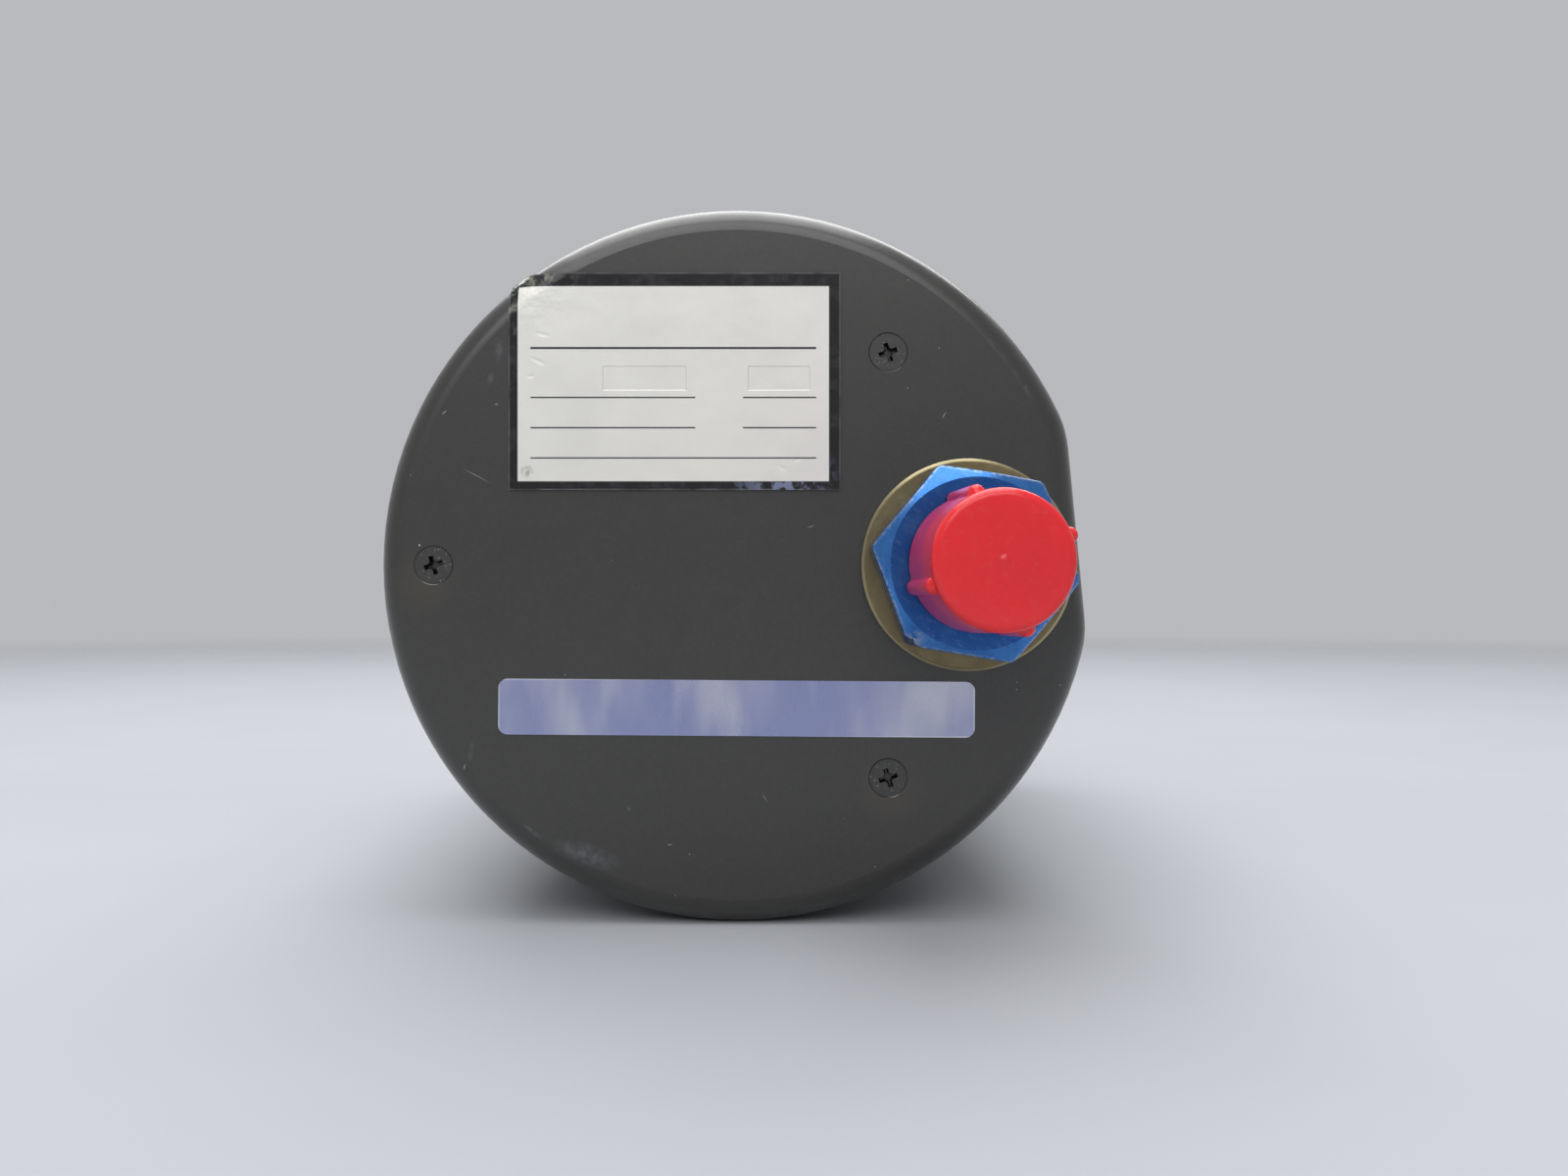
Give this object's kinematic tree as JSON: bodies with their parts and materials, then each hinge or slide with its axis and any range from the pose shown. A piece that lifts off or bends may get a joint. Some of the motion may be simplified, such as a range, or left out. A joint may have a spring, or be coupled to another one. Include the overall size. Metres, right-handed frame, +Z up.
{
  "type": "vertical speed indicator",
  "caption": "Round panel-mounted instrument: capsule movement behind a glazed dial, deep can, and a capped hose adapter on its blank end.",
  "frame": {"origin": "centre of the four panel screws, on the flange face that meets the panel", "axes": "-Y out of the dial towards the viewer, +Y back along the can to the port, +Z up, +X to the right seen from the dial side"},
  "size_m": [0.0826, 0.1483, 0.0826],
  "materials": {
    "case_paint": "satin olive-black lacquer over drawn aluminium",
    "bezel_paint": "matt black lacquer over die-cast aluminium",
    "brass": "turned, bare",
    "bronze_strip": "rolled beryllium copper",
    "steel": "turned, bright",
    "black_steel": "black oxide",
    "movement_alloy": "milled, clear anodised",
    "seal_rubber": "moulded",
    "window_glass": "polished",
    "dial_black": "matt black print",
    "pointer_white": "matt white paint",
    "jewel": "synthetic ruby, polished",
    "gold_chromate": "yellow chromate conversion coat, turned",
    "blue_anodised": "blue anodised, turned and milled",
    "red_plastic": "moulded polyethylene",
    "plate_foil": "printed foil plate, blank field",
    "strip_foil": "metallised film"
  },
  "bodies": {
    "case": {"bezel": "bezel_paint", "panel_inserts": "brass", "glass_gasket": "seal_rubber", "glass": "window_glass", "retaining_ring": "bezel_paint", "dial": "dial_black", "dial_screws": "black_steel", "dial_pillars": "movement_alloy", "front_plate": "movement_alloy", "middle_plate": "movement_alloy", "base_plate": "movement_alloy", "front_posts": "steel", "middle_posts": "steel", "rear_posts": "steel", "movement_screws": "steel", "staff_bridge": "brass", "jewel_bushes": "jewel", "hairspring": "bronze_strip", "hairspring_stud": "brass", "capsule_front": "bronze_strip", "capsule_rear": "bronze_strip", "capsule_stem": "brass", "capsule_bracket": "movement_alloy", "capsule_tube": "brass", "crossover_tube": "brass", "inlet_tube": "brass", "manifold": "movement_alloy", "manifold_seal": "seal_rubber", "leak_restrictor": "brass", "pump_lids": "brass", "zero_pivot": "steel", "case_seal": "seal_rubber", "case_can": "case_paint", "rear_screws": "black_steel", "data_plate": "plate_foil", "foil_strip": "strip_foil", "port_fitting": "gold_chromate", "port_seal": "seal_rubber", "port_nut": "steel", "adapter": "blue_anodised", "pump_1_body": "brass", "pump_1_spring": "steel", "pump_2_body": "brass", "pump_2_spring": "steel"},
    "rocking_shaft_group": {"sector": "brass", "rocking_shaft": "steel", "rocking_arm": "brass"},
    "pointer_group": {"pointer": "pointer_white", "pointer_staff": "steel", "hairspring_collet": "brass"},
    "capsule_centre": {"capsule_boss": "brass", "link": "steel"},
    "pump_1_piston": {"pump_1_piston": "brass"},
    "pump_2_piston": {"pump_2_piston": "brass"},
    "zero_adjuster": {"zero_adjuster": "black_steel"},
    "zero_lever": {"zero_lever": "brass", "zero_spring": "bronze_strip"},
    "cap": {"cap": "red_plastic"}
  },
  "joints": [
    {"name": "sector_turn", "type": "hinge", "parent": "case", "child": "rocking_shaft_group", "pos_m": [-0.01939, 0.02, 0.004], "axis": [0, 1, 0], "range_deg": [-17.2, 17.2], "stiffness_Nm_per_rad": 0.005, "deforming": ["zero_spring"]},
    {"name": "pointer_turn", "type": "hinge", "parent": "case", "child": "pointer_group", "pos_m": [0, 0.02, 0], "axis": [0, 1, 0], "range_deg": [-172, 172], "deforming": ["hairspring"]},
    {"name": "capsule_push", "type": "slide", "parent": "case", "child": "capsule_centre", "axis": [1, 0, 0], "range_m": [-0.00121, 0.00121], "deforming": ["capsule_front"]},
    {"name": "pump_1_slide", "type": "slide", "parent": "case", "child": "pump_1_piston", "axis": [0, 0, 1], "range_m": [-0.003, 0.003], "stiffness_N_per_m": 60, "springref_m": 0.00115, "deforming": ["pump_1_spring"]},
    {"name": "pump_2_slide", "type": "slide", "parent": "case", "child": "pump_2_piston", "axis": [0, 0, 1], "range_m": [-0.003, 0.003], "stiffness_N_per_m": 60, "springref_m": 0.00115, "deforming": ["pump_2_spring"]},
    {"name": "zero_adjuster_turn", "type": "hinge", "parent": "case", "child": "zero_adjuster", "pos_m": [-0.02539, 0, -0.02539], "axis": [0, 1, 0], "range_deg": [-40, 40]},
    {"name": "zero_lever_swing", "type": "hinge", "parent": "case", "child": "zero_lever", "pos_m": [-0.01571, 0.0166, -0.0072], "axis": [0, 1, 0], "range_deg": [-1.25, 1.25]},
    {"name": "cap_pull", "type": "slide", "parent": "case", "child": "cap", "axis": [0, 1, 0], "range_m": [0, 0.025]}
  ],
  "couplings": [
    {"joint": "pointer_turn", "follows": "sector_turn", "ratio": -10},
    {"joint": "capsule_push", "follows": "sector_turn", "m_per_rad": -0.004},
    {"joint": "zero_lever_swing", "follows": "zero_adjuster_turn", "ratio": -0.03}
  ]
}
